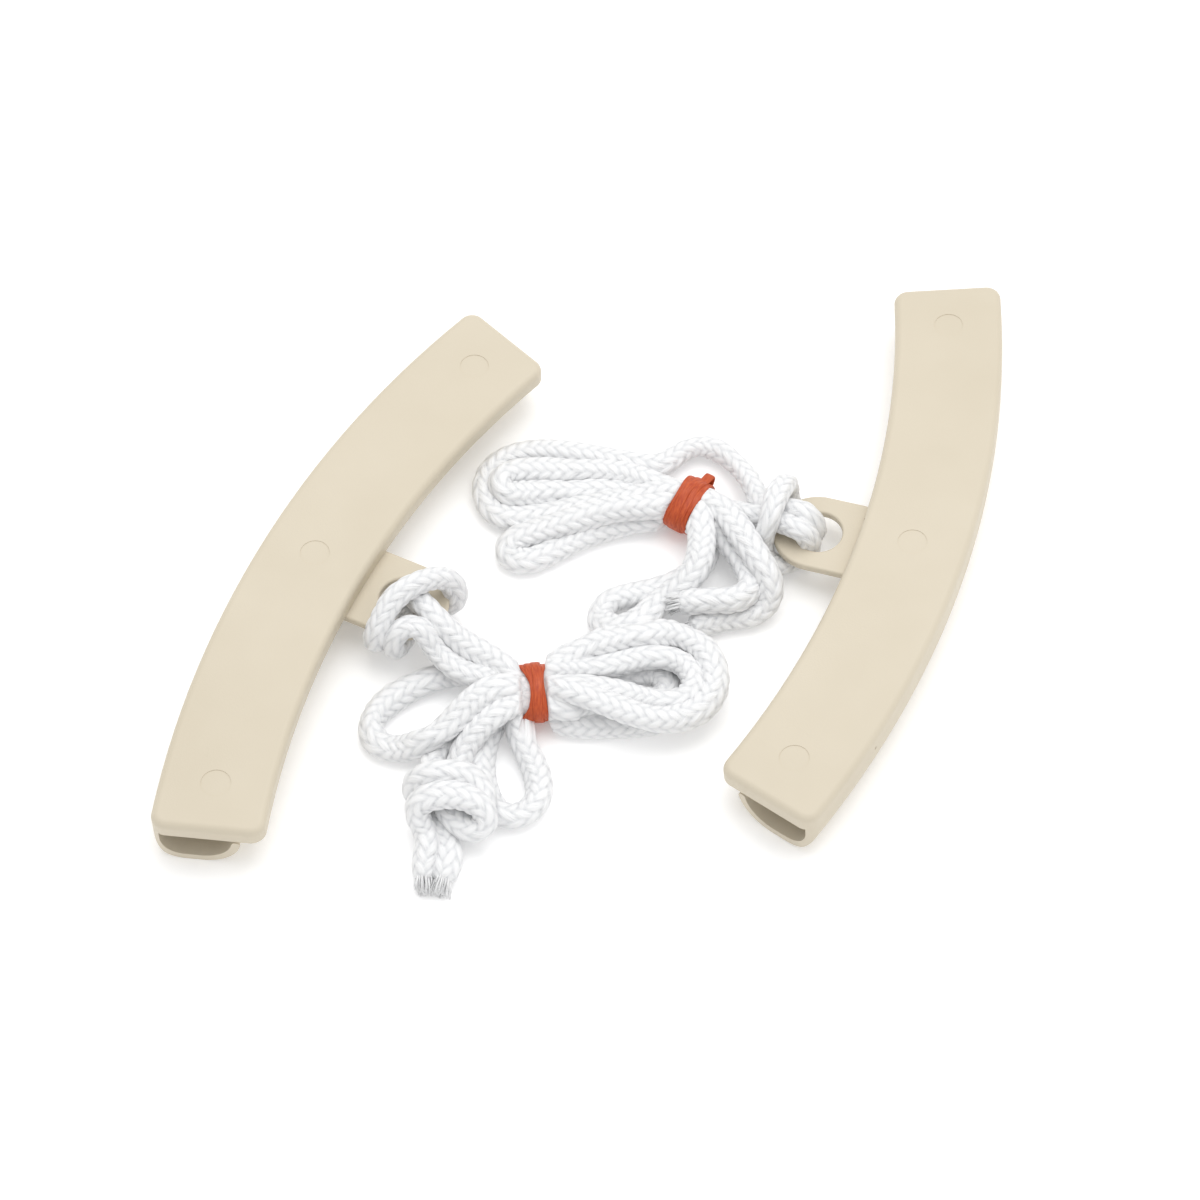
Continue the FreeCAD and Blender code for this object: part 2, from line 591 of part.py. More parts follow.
# ---------------------------------------------------------------- checks and files
for thing in doc.Objects:
    if "Invalid" in thing.State or "Error" in thing.State:
        raise RuntimeError(f"{thing.Label} failed: {thing.State}")

os.makedirs("parts", exist_ok=True)
for piece in protectors + tubes + bundles:
    shape = piece.Shape
    if shape.isNull() or not shape.isValid() or len(shape.Solids) != 1:
        raise RuntimeError(f"{piece.Label} is not one valid solid")
    box = shape.BoundBox
    corners = f"x {box.XMin:.2f}..{box.XMax:.2f} y {box.YMin:.2f}..{box.YMax:.2f} z {box.ZMin:.2f}..{box.ZMax:.2f}"
    print(f"{piece.Label}: {shape.Volume / 1000:.2f} cm3, {corners}")
    shape.exportStep(f"parts/{piece.Label}.step")
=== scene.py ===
import math
import random

import bpy
import numpy as np
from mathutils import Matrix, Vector


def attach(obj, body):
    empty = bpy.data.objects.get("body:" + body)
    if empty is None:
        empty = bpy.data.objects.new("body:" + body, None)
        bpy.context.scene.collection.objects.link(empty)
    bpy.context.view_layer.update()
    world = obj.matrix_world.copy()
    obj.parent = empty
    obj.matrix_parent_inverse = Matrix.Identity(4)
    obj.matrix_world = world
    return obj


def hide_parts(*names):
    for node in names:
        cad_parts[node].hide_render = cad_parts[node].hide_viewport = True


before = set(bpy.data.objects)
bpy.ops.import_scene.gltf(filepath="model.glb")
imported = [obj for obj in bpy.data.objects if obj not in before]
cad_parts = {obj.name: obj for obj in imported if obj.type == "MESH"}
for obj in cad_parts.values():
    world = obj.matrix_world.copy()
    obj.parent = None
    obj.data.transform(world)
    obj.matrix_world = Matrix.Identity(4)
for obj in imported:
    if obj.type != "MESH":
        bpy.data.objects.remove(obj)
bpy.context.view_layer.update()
MM = 0.001

# ------------------------------------------------------------------ camera and light
CAMERA_ELEVATION = math.radians(56.5)
CAMERA_DISTANCE = 1.0085
LOOKED_AT = Vector((0.00106, -0.00677, 0))
LENS = 111
SENSOR = 36

# Square soft lights that face the origin: where each hangs, its side and its power in watts.
LIGHTS = {
    "key_light": ((0.1, 0.45, 1.45), 1.3, 11.0),
    "fill_light": ((0.9, 0.1, 1.2), 1.2, 1.6),
}
WORLD_COLOUR = (1, 1, 1, 1)
WORLD_STRENGTH = 0.78

scene = bpy.context.scene
scene.view_settings.view_transform = "Standard"

camera_data = bpy.data.cameras.new("camera")
camera_data.lens = LENS
camera_data.sensor_width = SENSOR
camera = bpy.data.objects.new("camera", camera_data)
camera.location = LOOKED_AT + CAMERA_DISTANCE * Vector(
    (0, -math.cos(CAMERA_ELEVATION), math.sin(CAMERA_ELEVATION))
)
camera.rotation_euler = (math.pi / 2 - CAMERA_ELEVATION, 0, 0)
scene.collection.objects.link(camera)
scene.camera = camera

for name, (spot, side, power) in LIGHTS.items():
    light = bpy.data.lights.new(name, "AREA")
    light.size = side
    light.energy = power
    lamp = bpy.data.objects.new(name, light)
    lamp.location = spot
    lamp.rotation_euler = (-Vector(spot)).to_track_quat("-Z", "Y").to_euler()
    scene.collection.objects.link(lamp)

world = bpy.data.worlds.new("studio")
world.use_nodes = True
world.node_tree.nodes["Background"].inputs["Color"].default_value = WORLD_COLOUR
world.node_tree.nodes["Background"].inputs["Strength"].default_value = WORLD_STRENGTH
scene.world = world


# ------------------------------------------------------------------ materials
NYLON_DARK = (0.628, 0.560, 0.438)
NYLON_LIGHT = (0.660, 0.592, 0.470)
SPECK_BROWN = (0.33, 0.25, 0.15, 1)
SPECK_CELLS = 55.0  # cells to the metre, each of which may hold one speck
SPECK_CHANCE = 0.035
# Painted shade for the braid's valleys, and the fibres' white with painted highlight for its crests.
FIBRE_PAINTED_SHADE = (0.72, 0.73, 0.746)
FIBRE_WHITE_AND_HIGHLIGHT = (0.93, 0.932, 0.936)
RUBBER_DARK = (0.40, 0.045, 0.012)
RUBBER_LIGHT = (0.60, 0.110, 0.026)
PAPER_GREY = (0.955, 0.955, 0.955)
PAPER_WHITE = (0.965, 0.965, 0.965)
WHITE = (1, 1, 1)
BLACK = (0, 0, 0)

# A Mix node's colour sockets share their names with its other sockets, so they go by number.
MIX_A = 6
MIX_B = 7
MIX_RESULT = 2


class Shader:
    """A Principled material whose sockets are set by name, and whose nodes are chained."""

    def __init__(self, name, **sockets):
        self.material = bpy.data.materials.new(name)
        self.material.use_nodes = True
        self.tree = self.material.node_tree
        self.base = self.tree.nodes["Principled BSDF"]
        for socket, value in sockets.items():
            self.base.inputs[socket.replace("_", " ")].default_value = value

    def node(self, kind, **settings):
        """A new node. A setting that it has no property for is the value of an input."""
        made = self.tree.nodes.new(kind)
        for key, value in settings.items():
            if hasattr(made, key):
                setattr(made, key, value)
            else:
                made.inputs[key.replace("_", " ")].default_value = value
        return made

    def join(self, source, target):
        self.tree.links.new(source, target)

    def place(self):
        """The point in the object's own frame."""
        return self.node("ShaderNodeTexCoord").outputs["Object"]

    def drawn_out(self, uv_map, share):
        """A UV map in which a pattern is drawn out along V, to that share of its density."""
        stretch = self.node("ShaderNodeMapping")
        stretch.inputs["Scale"].default_value = (1, share, 1)
        self.join(self.node("ShaderNodeUVMap", uv_map=uv_map).outputs["UV"], stretch.inputs["Vector"])
        return stretch.outputs["Vector"]

    def noise(self, where, scale, detail=3, roughness=0.55):
        made = self.node("ShaderNodeTexNoise", Scale=scale, Detail=detail, Roughness=roughness)
        self.join(where, made.inputs["Vector"])
        return made.outputs["Fac"]

    def spread(self, value, low, high, to_low, to_high):
        """A value from low to high, moved to lie from to_low to to_high."""
        made = self.node(
            "ShaderNodeMapRange", From_Min=low, From_Max=high, To_Min=to_low, To_Max=to_high
        )
        self.join(value, made.inputs["Value"])
        return made.outputs["Result"]

    def ramp(self, value, stops):
        """The colour that stops, pairs of place and colour, give a value."""
        made = self.node("ShaderNodeValToRGB")
        elements = made.color_ramp.elements
        for element, (spot, colour) in zip(elements, stops):
            element.position = spot
            element.color = (*colour, 1)
        self.join(value, made.inputs["Fac"])
        return made.outputs["Color"]

    def bump(self, height, distance, strength=1.0, under=None):
        made = self.node("ShaderNodeBump", Strength=strength, Distance=distance)
        self.join(height, made.inputs["Height"])
        if under is not None:
            self.join(under, made.inputs["Normal"])
        return made.outputs["Normal"]

    def finish(self, colour, roughness, normal):
        self.join(colour, self.base.inputs["Base Color"])
        self.join(roughness, self.base.inputs["Roughness"])
        self.join(normal, self.base.inputs["Normal"])
        return self.material


def speck_mask(shader, where):
    """1 inside a few small specks, and 0 elsewhere."""
    cells = shader.node("ShaderNodeTexVoronoi", Scale=SPECK_CELLS)
    shader.join(where, cells.inputs["Vector"])
    speck = shader.ramp(cells.outputs["Distance"], [(0.018, WHITE), (0.03, BLACK)])
    chance = shader.node("ShaderNodeSeparateColor")
    shader.join(cells.outputs["Color"], chance.inputs["Color"])
    rare = shader.node("ShaderNodeMath", operation="LESS_THAN")
    shader.join(chance.outputs["Red"], rare.inputs[0])
    rare.inputs[1].default_value = SPECK_CHANCE
    both = shader.node("ShaderNodeMath", operation="MULTIPLY")
    shader.join(speck, both.inputs[0])
    shader.join(rare.outputs[0], both.inputs[1])
    return both.outputs[0]


def nylon_material():
    """Matte cream nylon: cloudy flow marks, fine moulded grain and a few dark specks."""
    shader = Shader("cream_nylon", Specular_IOR_Level=0.35)
    where = shader.place()
    clouds = shader.noise(where, 26)
    colour = shader.ramp(clouds, [(0.3, NYLON_DARK), (0.7, NYLON_LIGHT)])
    spotted = shader.node("ShaderNodeMix", data_type="RGBA")
    shader.join(speck_mask(shader, where), spotted.inputs["Factor"])
    shader.join(colour, spotted.inputs[MIX_A])
    spotted.inputs[MIX_B].default_value = SPECK_BROWN
    grain = shader.noise(where, 1900, 2)
    wave = shader.noise(where, 60, 2)
    roughness = shader.spread(wave, 0.3, 0.7, 0.42, 0.54)
    normal = shader.bump(wave, 0.4 * MM, 0.25)
    normal = shader.bump(grain, 0.06 * MM, 0.5, normal)
    return shader.finish(spotted.outputs[MIX_RESULT], roughness, normal)


def cord_material():
    """White synthetic filaments: fine ridges along each strand, with painted shade in the braid's
    valleys and painted highlight on its crests.
    """
    shader = Shader("white_braid", Specular_IOR_Level=0.45, Sheen_Weight=0.25)
    filaments = shader.noise(shader.drawn_out("strand", 0.16), 4.5, 4, 0.62)
    clouds = shader.noise(shader.place(), 90)
    # The colour is painted light. Where the braid's depth is low it is darker, as painted shade in
    # the valleys, and on the crests it is whiter, as painted highlight. The filament streaks are
    # partly the fibres' own tone and partly painted highlight.
    depth = shader.node("ShaderNodeAttribute", attribute_name="depth").outputs["Fac"]
    painted_light = shader.node("ShaderNodeMath", operation="MULTIPLY_ADD")
    shader.join(filaments, painted_light.inputs[0])
    painted_light.inputs[1].default_value = 0.45
    shader.join(shader.spread(depth, 0.35, 0.95, 0, 0.55), painted_light.inputs[2])
    colour = shader.ramp(painted_light.outputs[0], [(0.25, FIBRE_PAINTED_SHADE), (0.68, FIBRE_WHITE_AND_HIGHLIGHT)])
    roughness = shader.spread(clouds, 0.3, 0.7, 0.40, 0.52)
    return shader.finish(colour, roughness, shader.bump(filaments, 0.5 * MM))


def rubber_material():
    """Orange-red elastic: drawn-out streaks round the loop and a dull bloom."""
    shader = Shader("orange_rubber", Specular_IOR_Level=0.4)
    streaks = shader.noise(shader.drawn_out("loop", 0.12), 2.2)
    bloom = shader.noise(shader.place(), 300)
    colour = shader.ramp(streaks, [(0.3, RUBBER_DARK), (0.7, RUBBER_LIGHT)])
    roughness = shader.spread(bloom, 0.3, 0.7, 0.38, 0.6)
    normal = shader.bump(streaks, 0.2 * MM, 0.6)
    normal = shader.bump(bloom, 0.08 * MM, 0.4, normal)
    return shader.finish(colour, roughness, normal)


def floor_material():
    """Plain white paper that glows faintly, as painted light that washes out the shadows cast on it.
    """
    shader = Shader(
        "glowing_white_paper",
        Specular_IOR_Level=0.2,
        # The glow is painted light: it lightens the shadows on the floor and lights the pieces a
        # little from below.
        Emission_Color=(*WHITE, 1),
        Emission_Strength=0.16,
    )
    fibre = shader.noise(shader.place(), 700, 2)
    colour = shader.ramp(fibre, [(0.2, PAPER_GREY), (0.8, PAPER_WHITE)])
    roughness = shader.spread(fibre, 0, 1, 0.8, 0.9)
    return shader.finish(colour, roughness, shader.bump(fibre, 0.02 * MM, 0.2))


NYLON = nylon_material()
CORD = cord_material()
RUBBER = rubber_material()

for node_name in ("rim_protector_left", "rim_protector_right"):
    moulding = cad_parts[node_name]
    moulding.data.materials.clear()
    moulding.data.materials.append(NYLON)

# ------------------------------------------------------------------ floor
FLOOR_REACH = 4.0
FLOOR_DROP = 0.05 * MM  # keeps the floor's face apart from the faces that rest on it

floor_mesh = bpy.data.meshes.new("floor")
floor_mesh.from_pydata(
    [(x * FLOOR_REACH, y * FLOOR_REACH, 0) for x, y in ((-1, -1), (1, -1), (1, 1), (-1, 1))],
    [],
    [(0, 1, 2, 3)],
)
floor_mesh.materials.append(floor_material())
floor = bpy.data.objects.new("floor", floor_mesh)
floor.location.z = -FLOOR_DROP
scene.collection.objects.link(floor)


# ------------------------------------------------------------------ the cords
BRAID_CORE = 2.72 * MM  # the radius at the bottom of the braid's valleys
BRAID_RELIEF = 0.66 * MM
BRAID_STRANDS = 8  # strands that turn each way
BRAID_PITCH = 3.6 * MM  # from one strand to the next along the cord
BRAID_SLIP = 0.5  # how far the braid's pattern wanders along the cord, in pitches
SWELL = 0.055  # how much the cord's thickness varies
OVAL = 0.07  # how far its section is from round
SLIP_WAVE = 8 * MM  # the lengths over which these three vary
SWELL_WAVE = 9 * MM
OVAL_WAVE = 22 * MM
SLACK = np.array((1.12, 1.12, 0.95))  # a loose braid sags wider than it is high
HITCH_SQUEEZE = 0.86  # how thin the cord is drawn in the hitch
HITCH_LENGTH = 75 * MM
HITCH_EASE = 25 * MM  # over which it widens again
CUT_SQUEEZE = 0.72  # how thin the cord is drawn at its cut end
CUT_EASE = 3 * MM
CAP_RISE = 0.7 * MM
LOWEST = 0.06 * MM

RING_POINTS = 64
RING_STEP = 0.42 * MM
RING_TURN = 2 * math.pi / RING_POINTS
RING_ANGLES = np.linspace(0, 2 * math.pi, RING_POINTS, endpoint=False)[None, :]
SPLINE_STEPS = 12  # points to each corner of a route

FILAMENTS = 150  # at each cut end
FILAMENT_LENGTHS = (2.2, 5.6)  # millimetres
FILAMENT_RADIUS = 0.36 * MM
FILAMENT_RINGS = 4
FILAMENT_SIDES = 3
FILAMENT_SPREAD = 2.1 * MM  # from the cord's middle to the outermost one
FILAMENT_ROOT = 1.2 * MM  # how far inside the end they start
FILAMENT_LOWEST = 0.3 * MM

# Where the bands hold the cords: each band's middle in millimetres and its heading.
GRIPS = (((-16.6, -40.8, 6.6), 4), ((25.6, 20.1, 6.6), 149))
GRIP_HALF_WIDTH = 7.3 * MM
GRIP_HALF_HEIGHT = 5.2 * MM
GRIP_REACH = 3.1 * MM  # along the bundle, from the band's middle to its edge
GRIP_FILL = 0.97  # the share of the band's section that the cords fill
GRIP_FLARE = 1.4  # how fast they spread past the band, in sections to each GRIP_EASE
GRIP_EASE = 3 * MM
GRIP_FAR = 9 * MM  # nothing further than this along the bundle is drawn in
GRIP_BESIDE = 1.9  # nor anything this many sections out

# Each cord's two halves, from the eyelet outwards, in millimetres. These points weren't chosen
# by hand: a solver moved them apart so that the strands clear each other, and then a script drew
# them into the bands, shrank the hitches a little and rounded them to half a millimetre.
ROUTES = {
    "cord_left_half_a": [
        (-51.5, -13.5, 5), (-53.5, -12.5, 4.5), (-56.5, -18, 4), (-59, -24, 5.5),
        (-59.5, -26.5, 10), (-58, -24.5, 15), (-54, -18.5, 19), (-48, -14.5, 20),
        (-41.5, -11, 18), (-38, -10.5, 13), (-38, -12, 7.5), (-41.5, -11, 3.5), (-48, -8.5, 3),
        (-51.5, -11, 10), (-49.5, -14, 14.5), (-42.5, -22.5, 14.5), (-35.5, -27.5, 10),
        (-28, -31, 8), (-22.5, -36.5, 9.5), (-19, -37, 8), (-14.5, -36.5, 7.5), (-5, -29, 9.5),
        (8, -24.5, 9.5), (20.5, -23, 9), (30, -28, 8.5), (32.5, -38.5, 8.5), (28.5, -47.5, 8.5),
        (18, -52, 9.5), (5.5, -48.5, 11.5), (-6, -44, 13.5), (-11.5, -41.5, 10.5),
        (-16, -42, 9.5), (-21, -42, 10.5), (-26, -42.5, 13), (-32, -46, 12), (-38, -52, 9.5),
        (-44, -56, 7.5), (-52, -56.5, 3), (-58.5, -54.5, 3), (-60.5, -48, 3), (-55.5, -41, 3),
        (-47.5, -35.5, 3), (-38.5, -32.5, 3.5), (-28.5, -33.5, 3.5), (-21, -36.5, 4.5),
        (-17, -37, 5), (-12.5, -35.5, 4.5), (-4.5, -31.5, 3), (5.5, -28, 3), (18.5, -26.5, 3),
        (27, -32, 3), (27, -42, 3), (18, -47.5, 3), (4, -48.5, 3), (-8, -48.5, 3),
        (-16, -43.5, 4.5), (-20, -44, 5), (-22.5, -44.5, 7.5), (-27.5, -44, 8), (-33, -47, 5.5),
        (-38.5, -53, 3.5), (-43, -59, 3), (-43, -64.5, 4), (-40.5, -72, 6), (-37.5, -78.5, 6.5),
        (-33, -83, 6.5), (-28.5, -82, 8), (-29, -78.5, 11), (-34.5, -76, 13), (-41, -75.5, 12.5),
        (-46, -76.5, 10.5), (-46.5, -79, 7.5), (-44.5, -82, 5), (-43.5, -86, 4.5),
        (-44.5, -90.5, 3.5), (-44.5, -95, 3),
    ],
    "cord_left_half_b": [
        (-51.5, -13.5, 5), (-49, -14.5, 5), (-51, -19.5, 4.5), (-53.5, -25.5, 5), (-54.5, -28, 9),
        (-53.5, -26.5, 13.5), (-50, -25, 15.5), (-46, -26, 15), (-42.5, -29.5, 9.5),
        (-36.5, -35.5, 9), (-30, -37, 8), (-24.5, -38, 7.5), (-20, -37, 8.5), (-14.5, -35.5, 9.5),
        (-5.5, -34.5, 8.5), (4, -33, 8), (14.5, -30, 8.5), (23.5, -32, 8.5), (27, -39.5, 8.5),
        (23, -45, 8.5), (14.5, -45, 8.5), (4.5, -42, 10), (-4, -41, 10), (-10.5, -40, 7),
        (-16, -40.5, 3.5), (-21.5, -39.5, 3), (-25.5, -44.5, 3), (-28.5, -51.5, 3),
        (-30.5, -60.5, 3), (-29, -70.5, 3), (-25, -76.5, 3), (-19, -76.5, 3), (-14.5, -71.5, 3.5),
        (-15.5, -63, 3), (-19.5, -55, 4), (-21.5, -47.5, 6), (-18.5, -45.5, 7), (-13, -45.5, 7),
        (-8, -42, 3.5), (-2, -37.5, 3), (7, -33, 3), (16, -31.5, 3), (20.5, -37, 3),
        (16, -42.5, 3), (5.5, -42.5, 3.5), (-3.5, -44, 6), (-8, -47, 9), (-13.5, -43.5, 9),
        (-20, -44, 9), (-25.5, -49, 11), (-31, -53, 9), (-35, -58, 6), (-36.5, -64.5, 5),
        (-35, -70.5, 4), (-34.5, -75.5, 3.5), (-30.5, -76.5, 6), (-28.5, -73.5, 8.5),
        (-32, -69.5, 10.5), (-37.5, -68.5, 12), (-43.5, -68.5, 11), (-47.5, -69.5, 7.5),
        (-46.5, -72, 4), (-42.5, -77, 3), (-39.5, -82, 3), (-38, -85.5, 3), (-38.5, -91, 3.5),
        (-39.5, -95.5, 3),
    ],
    "cord_right_half_a": [
        (56.5, 15, 4), (55, 13, 4), (58.5, 11, 4.5), (60, 10.5, 9.5), (58, 11.5, 13.5),
        (56, 13, 14.5), (50, 16.5, 11), (45, 20, 7), (44, 25.5, 6), (41.5, 32.5, 4.5),
        (36.5, 39, 3.5), (31.5, 42.5, 3.5), (26, 42, 3.5), (21.5, 38.5, 3.5), (17, 34.5, 4),
        (8, 37.5, 3.5), (-6, 40.5, 3), (-17, 41, 3), (-25.5, 38.5, 3), (-30.5, 32, 3),
        (-30.5, 24, 3), (-26, 18, 3), (-15.5, 18.5, 3.5), (-5, 20.5, 4.5), (6.5, 22, 6.5),
        (15.5, 23, 8), (21, 23, 9.5), (25.5, 22, 9.5), (29.5, 20.5, 9.5), (35, 16, 11),
        (39, 7.5, 12.5), (44, -1.5, 12), (47.5, -7, 9), (46.5, -11, 4.5), (42, -14, 3),
        (33.5, -14.5, 3.5), (26, -18, 3),
    ],
    "cord_right_half_b": [
        (56.5, 15, 4), (58, 16.5, 3.5), (55, 19.5, 3), (53, 24, 5), (52.5, 25, 10), (51, 21, 15),
        (48.5, 14.5, 17.5), (47, 8, 16), (45, 7, 7.5), (46, 3.5, 4.5), (50.5, 1.5, 3.5),
        (57.5, 6, 3.5), (58.5, 6, 7.5), (57.5, 6, 12.5), (54.5, 7, 14.5), (48.5, 12, 11.5),
        (41.5, 15, 8.5), (36.5, 19, 5), (31, 21.5, 4.5), (26.5, 23.5, 5), (22, 25.5, 5),
        (16, 29, 4.5), (6, 33, 4), (-6, 33.5, 4), (-18, 33, 5), (-25, 31.5, 5.5), (-27, 27.5, 6),
        (-24.5, 24, 5.5), (-17, 25.5, 4.5), (-6, 27, 3.5), (6.5, 27, 3), (15, 24, 3),
        (20.5, 20.5, 4), (25.5, 18.5, 4), (30, 17, 3), (30.5, 10.5, 2.5), (29.5, 3.5, 3.5),
        (25, -2, 3.5), (18, -5, 3), (10, -7, 3), (3, -9, 3), (0.5, -15.5, 3.5), (4.5, -20.5, 6),
        (11, -19.5, 7.5), (17.5, -10.5, 4.5), (22.5, -7.5, 7), (27.5, -3, 10), (29, 4.5, 12),
        (28, 16, 10), (25, 18, 9), (21.5, 19, 9), (15, 17.5, 9.5), (5, 17.5, 8.5), (-6, 15, 7),
        (-17, 12.5, 5), (-23.5, 10, 4), (-24, 5.5, 3), (-18.5, 3.5, 3), (-11, 8, 3), (1, 14.5, 3),
        (13, 17, 4), (21.5, 17.5, 5.5), (26, 13.5, 6.5), (30, 13.5, 8), (34.5, 10, 7.5),
        (38.5, 4.5, 7), (41.5, -2.5, 7), (42, -9, 8), (37.5, -13, 9), (30, -12.5, 8.5),
        (22.5, -13, 8),
    ],
}

def spline_points(name, route):
    """The smooth line of a route: points read from a NURBS spline with the route's corners."""
    curve = bpy.data.curves.new(f"{name}_route", "CURVE")
    curve.dimensions = "3D"
    curve.resolution_u = SPLINE_STEPS
    spline = curve.splines.new("NURBS")
    spline.points.add(len(route) - 1)
    for point, corner in zip(spline.points, route):
        point.co = (*(MM * value for value in corner), 1)
    spline.order_u = 3
    spline.use_endpoint_u = True
    holder = bpy.data.objects.new(f"{name}_route", curve)
    line = bpy.data.meshes.new_from_object(holder)
    points = np.array([vertex.co[:] for vertex in line.vertices])
    bpy.data.objects.remove(holder)
    bpy.data.meshes.remove(line)
    bpy.data.curves.remove(curve)
    return points


def evenly(points, step):
    """Points on the same line, about that far apart, and how far along it each one is."""
    lengths = np.concatenate(([0], np.cumsum(np.linalg.norm(np.diff(points, axis=0), axis=1))))
    stations = np.linspace(0, lengths[-1], max(2, round(lengths[-1] / step)) + 1)
    return stations, np.stack([np.interp(stations, lengths, points[:, k]) for k in range(3)], 1)


def frames(points):
    """Unit tangents, and two normals that turn with the line and never twist about it."""
    tangents = np.gradient(points, axis=0)
    tangents /= np.linalg.norm(tangents, axis=1)[:, None]
    side = np.cross(tangents[0], (0, 0, 1) if abs(tangents[0][2]) < 0.9 else (1, 0, 0))
    sides = []
    for tangent in tangents:
        side = side - tangent * side.dot(tangent)
        side = side / np.linalg.norm(side)
        sides.append(side)
    sides = np.array(sides)
    return tangents, sides, np.cross(tangents, sides)


def slow_noise(stations, wavelength, draw):
    """A smooth random value from -1 to 1 at each station."""
    knots = np.arange(0, stations[-1] + 2 * wavelength, wavelength)
    values = np.array([draw.uniform(-1, 1) for _ in knots])
    share = stations / wavelength
    low = np.floor(share).astype(int)
    part = share - low
    part = part * part * (3 - 2 * part)
    return values[low] * (1 - part) + values[low + 1] * part


def braid(angles, stations, slip):
    """Height of the braid from 0 to 1, whether a strand of the first family lies on top, and
    each point's place across and along the strands of both families. A strand passes over two
    of the other family and under the next two, which draws chevrons along the cord."""
    round_share = BRAID_STRANDS * angles / (2 * math.pi)
    along_share = stations / BRAID_PITCH + slip
    heights, places = [], []
    for sense in (1, -1):
        own = round_share + sense * along_share
        other = round_share - sense * along_share
        across = own - np.floor(own) - 0.5
        dome = np.sqrt(np.maximum(0, 1 - (1.9 * across) ** 2))
        weave = sense * np.sin(math.pi / 2 * (other + np.floor(own)))
        heights.append(0.62 * dome + 0.38 * weave)
        places.append(np.stack([own, other], -1))
    first = heights[0] > heights[1]
    return np.clip(np.maximum(*heights), 0, 1), first, places


def tube_faces(rings, around):
    """Quads between neighbouring rings of a tube."""
    start = np.arange(rings - 1)[:, None] * around + np.arange(around)[None, :]
    beside = np.arange(rings - 1)[:, None] * around + (np.arange(around) + 1)[None, :] % around
    return np.stack([start, beside, beside + around, start + around], -1).reshape(-1, 4)


def end_cap(ring, centre, order):
    """Triangles from a ring to its centre. An order of -1 turns them to face backwards."""
    start = ring * RING_POINTS
    return [
        (start + k, start + (k + 1) % RING_POINTS, centre)[::order] for k in range(RING_POINTS)
    ]


def cut_filaments(end, tangent, draw):
    """Loose filaments that stick out of a cut end, as thin three-sided spikes."""
    vertices, faces = [], []
    tangent = Vector(tangent)
    side = tangent.orthogonal().normalized()
    beside = tangent.cross(side)
    down = Vector((0, 0, -1))
    for _ in range(FILAMENTS):
        turn = draw.uniform(0, 2 * math.pi)
        out = math.sqrt(draw.random())
        across = side * math.cos(turn) + beside * math.sin(turn)
        root = Vector(end) + across * out * FILAMENT_SPREAD - tangent * FILAMENT_ROOT
        way = (tangent + across * out * draw.uniform(-0.35, 0.3)).normalized()
        length = draw.uniform(*FILAMENT_LENGTHS) * MM
        droop = draw.uniform(0.0, 0.35)
        start = len(vertices)
        for ring in range(FILAMENT_RINGS):
            share = ring / (FILAMENT_RINGS - 1)
            middle = root + way * length * share + down * droop * length * share ** 2
            middle.z = max(middle.z, FILAMENT_LOWEST)
            radius = FILAMENT_RADIUS * (1 - 0.5 * share)
            for corner in range(FILAMENT_SIDES):
                angle = 2 * math.pi * corner / FILAMENT_SIDES
                point = middle + radius * (side * math.cos(angle) + beside * math.sin(angle))
                vertices.append(point[:])
        for ring in range(FILAMENT_RINGS - 1):
            for corner in range(FILAMENT_SIDES):
                a = start + FILAMENT_SIDES * ring + corner
                b = start + FILAMENT_SIDES * ring + (corner + 1) % FILAMENT_SIDES
                faces.append((a, b, b + FILAMENT_SIDES, a + FILAMENT_SIDES))
        last = start + FILAMENT_SIDES * (FILAMENT_RINGS - 1)
        faces.append((start + 2, start + 1, start))
        faces.append((last, last + 1, last + 2))
    return vertices, faces


def squeezed(vertices):
    """Points near a band are drawn in until they lie inside it, less so further from it."""
    up = np.array((0, 0, 1))
    for centre, heading in GRIPS:
        axis = np.array((math.cos(math.radians(heading)), math.sin(math.radians(heading)), 0))
        across = np.array((-axis[1], axis[0], 0))
        away = vertices - np.array(centre) * MM
        along = np.abs(away @ axis)
        side = away @ across
        rise = away[..., 2]
        share = np.sqrt((side / GRIP_HALF_WIDTH) ** 2 + (rise / GRIP_HALF_HEIGHT) ** 2)
        most = GRIP_FILL + GRIP_FLARE * np.maximum(0, along - GRIP_REACH) / GRIP_EASE
        held = (share > most) & (along < GRIP_FAR) & (share < GRIP_BESIDE)
        pull = np.where(held, most / np.maximum(share, 1e-9) - 1, 0)
        inward = side[..., None] * across + rise[..., None] * up
        vertices = vertices + pull[..., None] * inward
    return vertices


def rope_radius(stations, height, draw):
    """The cord's radius at each point of each ring, before it sags."""
    at = stations[:, None]
    swell = 1 + SWELL * slow_noise(stations, SWELL_WAVE, draw)[:, None]
    turned = 5 * slow_noise(stations, OVAL_WAVE, draw)[:, None]
    oval = 1 + OVAL * np.cos(2 * RING_ANGLES + turned)
    past_hitch = np.clip((at - HITCH_LENGTH) / HITCH_EASE, 0, 1)
    tight = HITCH_SQUEEZE + (1 - HITCH_SQUEEZE) * past_hitch
    before_cut = np.clip((stations[-1] - at) / CUT_EASE, 0, 1)
    cut = CUT_SQUEEZE + (1 - CUT_SQUEEZE) * np.sqrt(before_cut)
    return (BRAID_CORE + BRAID_RELIEF * height) * swell * oval * tight * cut


